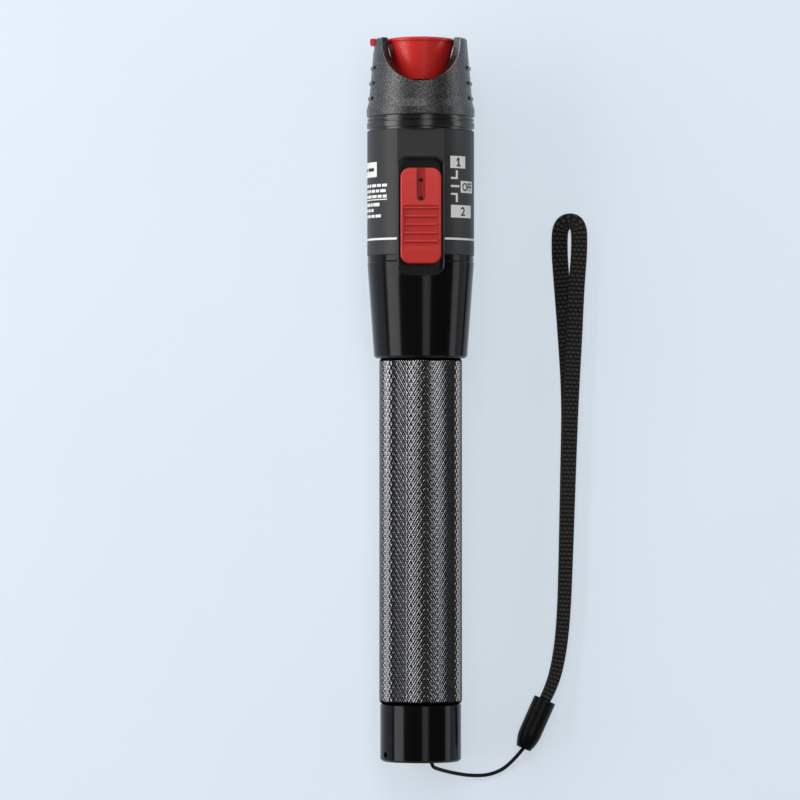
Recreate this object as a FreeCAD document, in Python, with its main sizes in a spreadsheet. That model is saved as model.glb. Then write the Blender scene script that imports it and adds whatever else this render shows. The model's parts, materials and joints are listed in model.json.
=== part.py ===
"""Pen-shaped visual fault locator with a wrist lanyard, lying on its side.

The pen is built standing on its tail in its own frame: Z runs from the tail to the nose,
-Y is the side that carries the slider, and +X is to the right of the slider. Every piece of
the pen then takes the same Placement, which lays it down on its collar lip and tail rim with
the slider facing up (+Z), the nose towards +Y and the lanyard on the ground at the +X side.
The lanyard is built where it lies. All lengths are in millimetres.
"""
import FreeCAD, Part
import math
import os
import re

import Sketcher

Vector = FreeCAD.Vector

# Driving dimensions: one plain number each, all independent of one another.
SIZES = {
    # tail cap and its thread
    "tail_cap_length": 13.9, "tail_step": 0.18, "tail_chamfer": 0.5, "tail_floor": 3.6,
    "plug_length": 8.0, "plug_wall": 0.95, "thread_clearance": 0.05,
    "eye_radius": 0.9, "eye_side_radius": 0.75, "eye_roof": 0.35, "eye_angle": 66.0,
    "eye_floor": 0.8, "eye_offset": 2.3,
    "seal_section": 0.3, "seal_setback": 1.5, "seal_clearance": 0.04,
    # battery tube and cells
    "tube_shoulder": 0.83, "tube_chamfer": 0.35,
    "spigot_length": 8.0, "spigot_wall": 1.6, "end_clearance": 0.2,
    "cell_radius": 7.25, "cell_length": 50.5, "cell_clearance": 0.25,
    "nub_radius": 2.75, "nub_length": 1.5, "cell_edge": 0.6,
    "spring_length": 9.45, "spring_wire": 0.4, "spring_radius": 4.6, "spring_turns": 5.0,
    "spring_gap": 0.1,
    # collar
    "collar_flare": 1.6, "collar_step": 0.02, "collar_length": 23.1,
    "collar_chamfer": 0.55, "lip_length": 1.5, "lip_groove": 0.16, "lip_drop": 0.12,
    # switch housing with its flat and the slider's recess
    "label_radius": 12.87, "label_length": 30.1, "housing_wall": 2.2, "edge_break": 0.2,
    "housing_spigot_length": 4.4, "housing_spigot_step": 1.3,
    "facet_width": 11.2, "recess_length": 28.4, "recess_below": 4.95, "recess_corner": 2.6,
    "track_clearance": 0.05, "track_wall": 0.42, "track_rim": 0.04, "track_floor": 0.8,
    "track_depth": 3.85,
    # slider and switch
    "slider_side_gap": 0.33, "slider_edge": 0.45,
    "slider_rise": 1.15, "slider_end_drop": 0.7, "slider_gap": 0.1, "slider_travel": 2.0,
    "thumb_slot_width": 2.07, "thumb_slot_length": 8.0, "thumb_slot_depth": 0.9,
    "dimple_radius": 0.52, "dimple_depth": 0.8, "dimple_first": 3.0, "dimple_pitch": 4.3,
    "rib_gap": 1.6, "rib_foot": 5.3, "rib_count": 5.0, "rib_margin": 0.925,
    "rib_width": 0.62, "rib_height": 0.38, "rib_field_depth": 0.4,
    "stem_width": 2.0, "stem_length": 3.0, "stem_clearance": 0.15, "stem_seat": 2.0,
    "switch_width": 6.0, "switch_length": 12.4, "switch_height": 4.0, "switch_well": 1.2,
    "switch_gap": 0.2, "board_thickness": 1.2, "board_side_gap": 1.3, "board_end_gap": 1.4,
    "chip_side": 5.0, "chip_height": 1.2, "coil_radius": 2.4, "coil_height": 2.6,
    # front contact
    "contact_radius": 4.0, "contact_thickness": 0.4, "carrier_thickness": 2.1, "carrier_gap": 0.1,
    "rivet_radius": 0.8, "rivet_reach": 1.2, "bore_clearance": 0.05,
    # neck ring
    "ring_stand": 0.08, "groove_depth": 0.52, "groove_width": 0.55, "band_width": 1.4,
    "thin_groove_width": 0.4, "thin_band_width": 0.5, "top_groove_width": 0.5,
    # nose guard
    "nose_stand": 0.13, "nose_length": 18.9, "nose_band": 1.9, "flare_drop": 0.58,
    "flare_length": 1.9, "prong_drop": 1.85, "prong_wall": 1.82, "prong_bevel": 0.35,
    "guard_spigot_gap": 1.35, "guard_spigot_wall": 1.5, "shelf_thickness": 2.0,
    "window_depth": 10.9, "window_angle": 59.0,
    "grip_height": 0.3, "grip_width": 1.1, "grip_first": 3.9, "grip_pitch": 3.65,
    "grip_angle": 40.0,
    # light port
    "shelf_drop": 11.9, "port_flange_thickness": 1.5, "port_flange_gap": 0.1,
    "port_boss_radius": 3.0, "port_boss_height": 1.9, "port_barrel_radius": 6.0,
    "port_barrel_length": 15.4, "port_mouth_radius": 1.35, "port_mouth_length": 0.6,
    "sleeve_bore": 1.25, "sleeve_wall": 0.4, "sleeve_length": 9.5, "sleeve_clearance": 0.05,
    "light_hole_radius": 1.0, "light_hole_length": 1.0,
    "nut_thickness": 2.2, "nut_gap": 0.5,
    "lens_radius": 2.95, "lens_edge": 0.6, "lens_rise": 0.8,
    "lens_ring_length": 1.5, "lens_ring_wall": 0.65,
    "holder_radius": 4.55, "holder_length": 6.6, "holder_lip": 3.4,
    "diode_radius": 2.8, "diode_base": 1.3, "can_radius": 1.75, "can_length": 2.2,
    "lead_circle": 1.27, "lead_radius": 0.22, "lead_gap": 0.1,
    # dust cap and its hinge
    "hinge_drop": 0.85, "hinge_pin_radius": 0.4, "hinge_clearance": 0.05,
    "hinge_pin_length": 6.8, "arm_width": 2.6, "arm_height": 1.7, "arm_side_gap": 0.15,
    "tab_reach": 1.95, "tab_clearance": 0.2,
    "lid_gap": 1.03, "lid_thickness": 0.9, "lid_crown": 0.55, "lid_drop": 0.1,
    "lid_lip": 0.3, "cup_taper": 13.5, "cup_wall": 0.9, "cup_gap": 0.35,
    # lanyard
    "string_radius": 0.45, "bead_radius": 2.75, "bead_length": 12.9, "bead_tip_radius": 1.75,
    "bead_nose_length": 4.0, "tape_width": 3.75, "tape_thickness": 1.15,
}

# Stations along the pen and radii that follow from the sizes.
PLACES = {
    # radii, from the cells outwards
    "cell_bore": "cell_radius + cell_clearance",
    "plug_radius": "cell_bore + plug_wall",
    "socket_radius": "plug_radius + thread_clearance",
    "spigot_radius": "cell_bore + spigot_wall",
    "tube_radius": "spigot_radius + tube_shoulder",
    "tail_radius": "tube_radius - tail_step",
    "collar_large_radius": "label_radius - collar_step",
    "collar_small_radius": "collar_large_radius - collar_flare",
    "housing_bore": "label_radius - housing_wall",
    "spigot_seat_radius": "label_radius - housing_spigot_step",
    "ring_radius": "label_radius + ring_stand",
    "groove_radius": "label_radius - groove_depth",
    "nose_radius": "label_radius + nose_stand",
    "flare_radius": "nose_radius - flare_drop",
    "prong_radius": "nose_radius - prong_drop",
    "cavity_radius": "prong_radius - prong_wall",
    "hinge_offset": "prong_radius - prong_wall / 2",
    "lid_radius": "cavity_radius - lid_gap",
    "cup_radius": "lid_radius - lid_lip",
    "guard_bore": "housing_bore - guard_spigot_wall",
    "nut_flats": "(guard_bore - nut_gap) * sqrt(3)",
    "sleeve_outer": "sleeve_bore + sleeve_wall",
    "holder_bore": "holder_radius + bore_clearance",
    # stations of the tail and the cells
    "cap_top": "tail_cap_length",
    "eye_depth": "tail_floor - eye_floor",
    "eye_height": "eye_depth - eye_roof - eye_side_radius",
    "rear_cell_start": "tail_floor + spring_length + spring_gap",
    "front_cell_start": "rear_cell_start + cell_length",
    "cells_top": "front_cell_start + cell_length",
    "carrier_start": "cells_top + contact_thickness / 4",
    "carrier_top": "carrier_start + carrier_thickness",
    "board_start": "carrier_start + carrier_thickness / 2",
    # stations of the head, which the cells' length sets
    "recess_start": "carrier_top + carrier_gap",
    "recess_top": "recess_start + recess_length",
    "recess_middle": "recess_start + recess_length / 2",
    "label_start": "recess_start + recess_below",
    "lip_start": "label_start - lip_length",
    "tube_top": "lip_start - collar_length",
    "neck_start": "label_start + label_length",
    "band_start": "neck_start + groove_width",
    "band_top": "band_start + band_width",
    "thin_start": "band_top + thin_groove_width",
    "thin_top": "thin_start + thin_band_width",
    "nose_start": "thin_top + top_groove_width",
    "nose_top": "nose_start + nose_length",
    "guard_spigot_start": "recess_top + guard_spigot_gap",
    # distances in front of the axis, from the flat inwards
    "facet_level": "sqrt(label_radius ^ 2 - facet_width ^ 2 / 4)",
    "track_top": "facet_level + track_rim",
    "track_bed": "facet_level - track_depth",
    "track_under": "track_bed - track_floor",
    "slider_bed": "track_bed + slider_gap",
    "slider_top": "facet_level + slider_rise",
    "switch_top": "track_under - switch_gap",
    "board_front": "switch_top - switch_height",
    "board_back": "board_front - board_thickness",
    "board_width": "2 * (sqrt(housing_bore ^ 2 - board_front ^ 2) - board_side_gap)",
    # the slider, in its tray
    "slider_width": "facet_width - 2 * (track_wall + slider_side_gap)",
    "slider_length": "recess_length - 2 * (track_wall + slider_side_gap + slider_travel)",
    "slider_corner": "recess_corner - slider_side_gap",
    "slider_head": "recess_middle + slider_length / 2",
    "slider_foot": "recess_middle - slider_length / 2",
    "rib_first": "thumb_slot_length + rib_gap",
    "rib_pitch": "(slider_length - rib_first - rib_foot) / (rib_count - 1)",
    "rib_length": "slider_width - 2 * rib_margin",
    # the light port and the laser, down from the nose
    "shelf_level": "nose_top - shelf_drop",
    "port_ledge": "shelf_level + port_flange_thickness",
    "port_top": "port_ledge + port_boss_height",
    "port_bottom": "shelf_level - port_barrel_length",
    "sleeve_top": "port_top - port_mouth_length",
    "sleeve_seat": "sleeve_top - sleeve_length",
    "lens_seat": "sleeve_seat - light_hole_length",
    "holder_top": "lens_seat - lens_edge - lens_rise / 2 - lens_ring_length",
    "holder_bottom": "holder_top - holder_length",
    "diode_face": "holder_top - holder_lip",
    "board_end": "holder_bottom - board_end_gap",
    "lead_length": "diode_face - diode_base - board_end - lead_gap",
    # the dust cap
    "hinge_level": "nose_top - hinge_drop",
    "lid_level": "nose_top - lid_drop - lid_thickness",
    "cup_bottom": "port_ledge + cup_gap",
}

doc = FreeCAD.newDocument("FaultLocator")
sizes = doc.addObject("Spreadsheet::Sheet", "Sizes")
places = doc.addObject("Spreadsheet::Sheet", "Places")


def fill_sheets():
    for row, (name, number) in enumerate(SIZES.items(), start=1):
        sizes.set(f"A{row}", name)
        sizes.set(f"B{row}", str(number))
        sizes.setAlias(f"B{row}", name)
    doc.recompute()
    for row, name in enumerate(PLACES, start=1):
        places.set(f"A{row}", name)
        places.setAlias(f"B{row}", name)
    for row, rule in enumerate(PLACES.values(), start=1):
        from_sizes = re.sub(
            r"[a-z][a-z_]*", lambda w: ("Sizes." if w.group(0) in SIZES else "") + w.group(0), rule
        )
        places.set(f"B{row}", "=" + from_sizes)
    doc.recompute()


class Rule:
    """A length together with the sheet expression that gives it."""

    def __init__(self, number, text):
        self.number = float(number)
        self.text = text

    def __add__(self, other):
        other = as_rule(other)
        return Rule(self.number + other.number, f"({self.text} + {other.text})")

    def __sub__(self, other):
        other = as_rule(other)
        return Rule(self.number - other.number, f"({self.text} - {other.text})")

    def __mul__(self, other):
        other = as_rule(other)
        return Rule(self.number * other.number, f"({self.text} * {other.text})")

    def __truediv__(self, other):
        other = as_rule(other)
        return Rule(self.number / other.number, f"({self.text} / {other.text})")

    def __neg__(self):
        return Rule(-self.number, f"(-{self.text})")

    __rmul__ = __mul__


def as_rule(thing):
    return thing if isinstance(thing, Rule) else Rule(thing, f"({thing})")


def root(rule):
    return Rule(math.sqrt(rule.number), f"sqrt({rule.text})")


def tangent_of(rule):
    """The tangent of an angle in degrees."""
    return Rule(math.tan(math.radians(rule.number)), f"tan({rule.text})")


class Names:
    """S.tail_radius is the rule for that cell of the sheets."""

    def __getattr__(self, name):
        if name in SIZES:
            return Rule(sizes.get(name), "Sizes." + name)
        if name in PLACES:
            return Rule(places.get(name), "Places." + name)
        raise AttributeError(name)


fill_sheets()
S = Names()

# How the pen lies: its lowest line runs from the tail rim to the collar lip.
LEAN = math.atan2(
    (S.collar_large_radius - S.tail_radius).number, (S.lip_start - S.tail_chamfer).number
)
REST_HEIGHT = S.tail_radius.number * math.cos(LEAN) - S.tail_chamfer.number * math.sin(LEAN)
LYING = FreeCAD.Placement(
    Vector(0, -S.nose_top.number / 2, REST_HEIGHT),
    FreeCAD.Rotation(Vector(1, 0, 0), math.degrees(LEAN) - 90),
)
ARC = "arc"
pieces = {}


def bind(thing, prop, rule):
    thing.setExpression(prop, as_rule(rule).text)


def new_piece(name):
    """Start a sub-part of the pen, lying down with the rest of it."""
    piece = doc.addObject("PartDesign::Body", name)
    piece.Label = name
    piece.Placement = LYING
    pieces[name] = piece
    return piece


def origin_part(body, role):
    return next(p for p in body.Origin.OriginFeatures if p.Role == role)


def sketch_on(body, name, role, height=0):
    """A sketch on one of the body's own origin planes, raised along its normal."""
    sketch = body.newObject("Sketcher::SketchObject", name)
    sketch.AttachmentSupport = [(origin_part(body, role), "")]
    sketch.MapMode = "FlatFace"
    bind(sketch, ".AttachmentOffset.Base.z", height)
    sketch.Visibility = False
    return sketch


def fix(sketch, kind, rule, *where):
    """Add a dimension to the sketch and tie it to the sheets."""
    index = sketch.addConstraint(Sketcher.Constraint(kind, *where, as_rule(rule).number))
    bind(sketch, f"Constraints[{index}]", rule)


def fix_point(sketch, point, geometry, end):
    """Dimension a point of the sketch from its origin, both ways."""
    fix(sketch, "DistanceX", point[0], -1, 1, geometry, end)
    fix(sketch, "DistanceY", point[1], -1, 1, geometry, end)


def flat_point(corner):
    return Vector(as_rule(corner[0]).number, as_rule(corner[1]).number)


def outline(body, name, role, corners, height=0):
    """A closed outline through corners dimensioned from the origin.

    A corner marked ARC is a point that the side passes through on its way from the corner
    before to the corner after, which makes that side an arc.
    """
    sketch = sketch_on(body, name, role, height)
    ends = []
    for i, corner in enumerate(corners):
        if ARC in corner:
            continue
        after = corners[(i + 1) % len(corners)]
        bent = ARC in after
        target = corners[(i + 2) % len(corners)] if bent else after
        start, finish = flat_point(corner), flat_point(target)
        if not bent:
            side = sketch.addGeometry(Part.LineSegment(start, finish))
            ends.append((corner, side, 1, 2))
            continue
        middle = flat_point(after)
        leftward = (middle - start).cross(finish - middle).z > 0
        arc = Part.Arc(start, middle, finish) if leftward else Part.Arc(finish, middle, start)
        side = sketch.addGeometry(arc)
        mark = sketch.addGeometry(Part.Point(middle), True)
        fix_point(sketch, after, mark, 1)
        sketch.addConstraint(Sketcher.Constraint("PointOnObject", mark, 1, side))
        ends.append((corner, side, 1, 2) if leftward else (corner, side, 2, 1))
    for i, (corner, side, near, far) in enumerate(ends):
        _, following, its_near, _ = ends[(i + 1) % len(ends)]
        sketch.addConstraint(Sketcher.Constraint("Coincident", side, far, following, its_near))
        fix_point(sketch, corner, side, near)
    return sketch


def box_corners(width, low, high):
    return [(-width / 2, low), (width / 2, low), (width / 2, high), (-width / 2, high)]


def rounded_box(body, name, role, width, low, high, radius, height=0):
    """A rectangle with rounded corners, centred across, from low to high along the pen."""
    slack = 1 - math.sqrt(0.5)
    corners = []
    for side, end, first in ((-1, low, 1), (1, low, 0), (1, high, 1), (-1, high, 0)):
        inward = 1 if end is low else -1
        edge = width * (side / 2)
        on_side = (edge, end + radius * inward)
        bend = (edge - radius * (side * slack), end + radius * (inward * slack), ARC)
        on_end = (edge - radius * side, end)
        corners += [on_side, bend, on_end] if first else [on_end, bend, on_side]
    return outline(body, name, role, corners, height)


def circles(body, name, role, rounds, height=0):
    """Circles, each given as (across, along, radius)."""
    sketch = sketch_on(body, name, role, height)
    for across, along, radius in rounds:
        centre = flat_point((across, along))
        i = sketch.addGeometry(Part.Circle(centre, Vector(0, 0, 1), as_rule(radius).number))
        fix_point(sketch, (across, along), i, 3)
        fix(sketch, "Radius", radius, i)
    return sketch


def feature(body, kind, name, sketch):
    made = body.newObject("PartDesign::" + kind, name)
    made.Profile = sketch
    return made


def spun(body, name, sketch, angle=360):
    """Turn a sketch about the pen's axis."""
    made = feature(body, "Revolution", name, sketch)
    made.ReferenceAxis = (sketch, ["V_Axis"])
    bind(made, "Angle", angle)
    return made


def turned(body, name, corners):
    """Turn a profile of (radius, station) corners about the pen's axis."""
    return spun(body, name, outline(body, name + "_profile", "XZ_Plane", corners))


def padded(body, name, sketch, length, both_ways=False):
    made = feature(body, "Pad", name, sketch)
    bind(made, "Length", length)
    made.Midplane = both_ways
    return made


def checked_cut(body, made, before):
    doc.recompute()
    if not made.Shape.Volume < before - 1e-6:
        raise RuntimeError(f"{body.Label}: {made.Label} cuts nothing")
    return made


def pocketed(body, name, sketch, length, forward=False, both_ways=False):
    """Cut a sketch's shape out; forward cuts along the sketch's normal."""
    doc.recompute()
    before = body.Tip.Shape.Volume
    made = feature(body, "Pocket", name, sketch)
    bind(made, "Length", length)
    made.Midplane = both_ways
    made.Reversed = forward
    return checked_cut(body, made, before)


def softened(body, name, radius, test):
    """Round the edges of the body so far that pass the test."""
    doc.recompute()
    base = body.Tip
    chosen = [f"Edge{i}" for i, edge in enumerate(base.Shape.Edges, start=1) if test(edge)]
    if not chosen:
        raise RuntimeError(f"{body.Label}: {name} finds no edge")
    made = body.newObject("PartDesign::Fillet", name)
    made.Base = (base, chosen)
    bind(made, "Radius", radius)
    return made


def around_axis(body, name, made, count):
    """Repeat a feature evenly round the pen's axis."""
    pattern = body.newObject("PartDesign::PolarPattern", name)
    pattern.Originals = [made]
    pattern.Axis = (origin_part(body, "Z_Axis"), [""])
    pattern.Angle = 360
    pattern.Occurrences = count
    body.Tip = pattern
    return pattern


def tail_cap():
    body = new_piece("tail_cap")
    seal_low = S.cap_top + S.seal_setback - S.seal_section
    seal_high = S.cap_top + S.seal_setback + S.seal_section
    turned(body, "cup", [
        (0, 0),
        (S.tail_radius - S.tail_chamfer, 0),
        (S.tail_radius, S.tail_chamfer),
        (S.tail_radius, S.cap_top - S.tube_chamfer),
        (S.tail_radius - S.tube_chamfer, S.cap_top),
        (S.plug_radius, S.cap_top),
        (S.plug_radius, seal_low),
        (S.socket_radius - S.seal_section * 2, seal_low),
        (S.socket_radius - S.seal_section * 2, seal_high),
        (S.plug_radius, seal_high),
        (S.plug_radius, S.cap_top + S.plug_length),
        (S.cell_bore, S.cap_top + S.plug_length),
        (S.cell_bore, S.tail_floor + S.tail_chamfer),
        (S.cell_bore - S.tail_chamfer, S.tail_floor),
        (0, S.tail_floor),
    ])
    mouth = circles(body, "eye_mouth", "XY_Plane", [(S.eye_offset, 0, S.eye_radius)])
    pocketed(body, "eye_end_hole", mouth, S.eye_depth, forward=True)
    before = body.Tip.Shape.Volume
    side = body.newObject("PartDesign::SubtractiveCylinder", "eye_side_hole")
    bind(side, "Radius", S.eye_side_radius)
    bind(side, "Height", S.tail_radius * 2)
    across = FreeCAD.Rotation(Vector(1, 0, 0), 90)
    leftward = FreeCAD.Rotation(Vector(0, 0, 1), -S.eye_angle.number)
    side.Placement = FreeCAD.Placement(
        Vector(S.eye_offset.number, 0, S.eye_height.number), leftward * across
    )
    checked_cut(body, side, before)


def tail_seal():
    body = new_piece("tail_seal")
    section = S.seal_section - S.seal_clearance
    reach = S.socket_radius - S.seal_clearance - section
    spun(body, "ring", circles(body, "section", "XZ_Plane", [
        (reach, S.cap_top + S.seal_setback, section),
    ]))


def tail_spring():
    """A compression spring whose wire climbs in a plain helix."""
    body = new_piece("tail_spring")
    wire = circles(body, "wire_section", "XZ_Plane", [
        (S.spring_radius, S.tail_floor + S.spring_wire, S.spring_wire),
    ])
    coil = feature(body, "AdditiveHelix", "coil", wire)
    coil.ReferenceAxis = (wire, ["V_Axis"])
    coil.Mode = "height-turns-angle"
    bind(coil, "Height", S.spring_length - S.spring_wire * 2)
    bind(coil, "Turns", S.spring_turns)


def battery_tube():
    body = new_piece("battery_tube")
    socket_end = S.cap_top + S.plug_length + S.end_clearance
    turned(body, "shell", [
        (S.socket_radius, S.cap_top),
        (S.tube_radius - S.tube_chamfer, S.cap_top),
        (S.tube_radius, S.cap_top + S.tube_chamfer),
        (S.tube_radius, S.tube_top - S.tube_chamfer),
        (S.tube_radius - S.tube_chamfer, S.tube_top),
        (S.spigot_radius, S.tube_top),
        (S.spigot_radius, S.tube_top + S.spigot_length - S.tube_chamfer),
        (S.spigot_radius - S.tube_chamfer, S.tube_top + S.spigot_length),
        (S.cell_bore, S.tube_top + S.spigot_length),
        (S.cell_bore, socket_end),
        (S.socket_radius, socket_end),
    ])


def battery(name, start):
    """A round dry cell with its crimped shoulder and button contact."""
    body = new_piece(name)
    top = start + S.cell_length
    shoulder = top - S.nub_length
    foot = S.cell_edge / 4
    turned(body, "can", [
        (0, start),
        (S.cell_radius - S.cell_edge * 2, start),
        (S.cell_radius - S.cell_edge * 2, start + foot),
        (S.cell_radius - S.cell_edge, start + foot),
        (S.cell_radius, start + S.cell_edge),
        (S.cell_radius, shoulder - S.cell_edge),
        (S.cell_radius - S.cell_edge, shoulder),
        (S.nub_radius + S.cell_edge, shoulder),
        (S.nub_radius, shoulder + foot),
        (S.nub_radius, top - S.cell_edge / 2),
        (S.nub_radius - S.cell_edge / 2, top),
        (0, top),
    ])


def recess_cut(body):
    """The slot for the slider's tray, from just above the switch out to the skin."""
    plan = rounded_box(
        body, "recess_plan", "XZ_Plane",
        S.facet_width + S.track_clearance * 2,
        S.recess_start - S.track_clearance, S.recess_top + S.track_clearance,
        S.recess_corner + S.track_clearance, height=S.switch_top,
    )
    pocketed(body, "recess", plan, S.label_radius, forward=True)


def collar():
    body = new_piece("collar")
    seat_end = S.label_start - S.housing_spigot_length - S.end_clearance
    socket = S.spigot_radius + S.thread_clearance
    socket_end = S.tube_top + S.spigot_length + S.end_clearance
    lip_radius = S.label_radius - S.lip_drop
    turned(body, "shell", [
        (socket, S.tube_top),
        (S.collar_small_radius - S.collar_chamfer, S.tube_top),
        (S.collar_small_radius, S.tube_top + S.collar_chamfer),
        (S.collar_large_radius, S.lip_start - S.lip_groove),
        (S.collar_large_radius - S.lip_groove, S.lip_start),
        (lip_radius, S.lip_start + S.lip_groove),
        (lip_radius, S.label_start),
        (S.spigot_seat_radius, S.label_start),
        (S.spigot_seat_radius, seat_end),
        (S.housing_bore, seat_end),
        (S.housing_bore, S.carrier_start),
        (S.cell_bore, S.carrier_start),
        (S.cell_bore, socket_end),
        (socket, socket_end),
    ])
    recess_cut(body)


def switch_housing():
    body = new_piece("switch_housing")
    spigot = S.spigot_seat_radius - S.thread_clearance
    turned(body, "shell", [
        (S.housing_bore, S.label_start - S.housing_spigot_length),
        (spigot, S.label_start - S.housing_spigot_length),
        (spigot, S.label_start),
        (S.label_radius - S.edge_break, S.label_start),
        (S.label_radius, S.label_start + S.edge_break),
        (S.label_radius, S.neck_start - S.edge_break),
        (S.label_radius - S.edge_break, S.neck_start),
        (S.housing_bore, S.neck_start),
    ])
    flat = outline(
        body, "facet_plan", "XZ_Plane",
        box_corners(S.label_radius * 2, S.label_start, S.neck_start), height=S.facet_level,
    )
    pocketed(body, "facet", flat, S.label_radius, forward=True)
    recess_cut(body)


def neck_ring():
    body = new_piece("neck_ring")
    lip = S.edge_break / 2
    turned(body, "ring", [
        (S.housing_bore, S.neck_start),
        (S.groove_radius, S.neck_start),
        (S.groove_radius, S.band_start),
        (S.ring_radius - lip, S.band_start),
        (S.ring_radius, S.band_start + lip),
        (S.ring_radius, S.band_top - lip),
        (S.ring_radius - lip, S.band_top),
        (S.groove_radius, S.band_top),
        (S.groove_radius, S.thin_start),
        (S.ring_radius - lip, S.thin_start),
        (S.ring_radius - lip, S.thin_top),
        (S.groove_radius, S.thin_top),
        (S.groove_radius, S.nose_start),
        (S.housing_bore, S.nose_start),
    ])


def window_cut(body):
    """One rounded window, its sides running straight at the pen's axis.

    Wedges stacked up the pen, from a sliver at the sill to full width at the prong tops,
    follow an ellipse, and the loft through them is what is cut away.
    """
    reach = S.nose_radius + S.edge_break
    widest = math.sin(math.radians(S.window_angle.number))
    rises = (0.003, 0.03, 0.1, 0.22, 0.4, 0.65, 1.0, 1.2)
    wedges = []
    for i, rise in enumerate(rises):
        width = math.sqrt(1 - (1 - min(rise, 1)) ** 2)
        half_angle = math.degrees(math.asin(width * widest))
        half = reach * tangent_of(S.window_angle * (half_angle / S.window_angle.number))
        level = S.nose_top - S.window_depth * (1 - rise)
        wedges.append(outline(
            body, f"window_wedge_{i}", "XY_Plane", [(0, 0), (-half, -reach), (half, -reach)], level
        ))
    doc.recompute()
    before = body.Tip.Shape.Volume
    made = feature(body, "SubtractiveLoft", "front_window", wedges[0])
    made.Sections = wedges[1:]
    checked_cut(body, made, before)
    around_axis(body, "both_windows", made, 2)


def nose_guard():
    body = new_piece("nose_guard")
    barrel_hole = S.port_barrel_radius + S.bore_clearance
    spigot = S.housing_bore - S.bore_clearance
    shelf_under = S.shelf_level - S.shelf_thickness
    flare_top = S.nose_start + S.nose_band + S.flare_length
    turned(body, "shell", [
        (spigot, S.nose_start),
        (S.nose_radius - S.edge_break, S.nose_start),
        (S.nose_radius, S.nose_start + S.edge_break),
        (S.nose_radius, S.nose_start + S.nose_band),
        (S.flare_radius, flare_top),
        (S.prong_radius, S.nose_top - S.prong_bevel),
        (S.prong_radius - S.prong_bevel, S.nose_top),
        (S.cavity_radius, S.nose_top),
        (S.cavity_radius, S.shelf_level),
        (barrel_hole, S.shelf_level),
        (barrel_hole, shelf_under),
        (S.guard_bore, shelf_under),
        (S.guard_bore, S.guard_spigot_start),
        (spigot, S.guard_spigot_start),
    ])
    window_cut(body)
    slope = (S.flare_radius - S.prong_radius) / (S.nose_top - flare_top)
    for i in range(3):
        low = S.nose_start + S.grip_first + S.grip_pitch * i
        high = low + S.grip_width
        skin = S.prong_radius + slope * (S.nose_top - low)
        root_radius = skin - S.prong_wall / 2
        rib = spun(body, f"grip_rib_{i + 1}", outline(body, f"grip_profile_{i + 1}", "XZ_Plane", [
            (root_radius, low),
            (skin + S.grip_height / 3, low),
            (skin + S.grip_height, low + S.grip_width / 4),
            (skin + S.grip_height * 0.8, high - S.grip_width / 4),
            (root_radius, high),
        ]), S.grip_angle)
        rib.Midplane = True
        doc.recompute()
        around_axis(body, f"grip_pair_{i + 1}", rib, 2)
    notch_reach = root(S.tab_reach * S.tab_reach + S.arm_height * S.arm_height / 4)
    notch_low = S.hinge_level - notch_reach - S.tab_clearance
    notch = outline(body, "notch_plan", "XZ_Plane", [
        (-S.nose_radius, notch_low),
        (-S.port_boss_radius, notch_low),
        (-S.port_boss_radius, S.nose_top + S.arm_height),
        (-S.nose_radius, S.nose_top + S.arm_height),
    ])
    pocketed(body, "hinge_notch", notch, S.arm_width + S.arm_side_gap * 2, both_ways=True)
    pin_hole = circles(body, "pin_hole_plan", "XZ_Plane", [
        (-S.hinge_offset, S.hinge_level, S.hinge_pin_radius),
    ])
    pocketed(body, "pin_hole", pin_hole, S.hinge_pin_length, both_ways=True)


def hinge_pin():
    body = new_piece("hinge_pin")
    section = circles(body, "pin_section", "XZ_Plane", [
        (-S.hinge_offset, S.hinge_level, S.hinge_pin_radius),
    ])
    padded(body, "pin", section, S.hinge_pin_length, both_ways=True)


def dust_cap():
    """A lid with a hollow tapered cup under it, and an arm out to the hinge."""
    body = new_piece("dust_cap")
    lid_top = S.lid_level + S.lid_thickness
    rim = S.lid_thickness / 3
    depth = S.lid_level - S.cup_bottom
    narrowing = depth * tangent_of(S.cup_taper)
    foot = S.cup_radius - narrowing
    turned(body, "lid_and_cup", [
        (0, S.lid_level),
        (S.cup_radius - S.cup_wall, S.lid_level),
        (foot - S.cup_wall, S.cup_bottom),
        (foot, S.cup_bottom),
        (S.cup_radius, S.lid_level),
        (S.lid_radius - rim / 2, S.lid_level),
        (S.lid_radius, S.lid_level + rim),
        (S.lid_radius, lid_top - rim),
        (S.lid_radius - rim, lid_top),
        (S.lid_radius / 2, lid_top + S.lid_crown * 0.76, ARC),
        (0, lid_top + S.lid_crown),
    ])
    arm = outline(body, "arm_side", "XZ_Plane", [
        (-S.hinge_offset - S.tab_reach, S.hinge_level - S.arm_height / 2),
        (-S.cup_radius + S.cup_wall / 2, S.hinge_level - S.arm_height / 2),
        (-S.cup_radius + S.cup_wall / 2, S.hinge_level + S.arm_height / 2),
        (-S.hinge_offset - S.tab_reach, S.hinge_level + S.arm_height / 2),
    ])
    padded(body, "arm", arm, S.arm_width, both_ways=True)
    doc.recompute()
    tip = -(S.hinge_offset + S.tab_reach).number
    softened(body, "tab_rounding", S.arm_height * 0.3, lambda edge: (
        abs(edge.BoundBox.XMin - tip) < 1e-4 and abs(edge.BoundBox.XMax - tip) < 1e-4
        and edge.BoundBox.YLength > 1
    ))
    bore = circles(body, "hinge_bore_plan", "XZ_Plane", [
        (-S.hinge_offset, S.hinge_level, S.hinge_pin_radius + S.hinge_clearance),
    ])
    pocketed(body, "hinge_bore", bore, S.arm_width * 2, both_ways=True)


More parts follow.
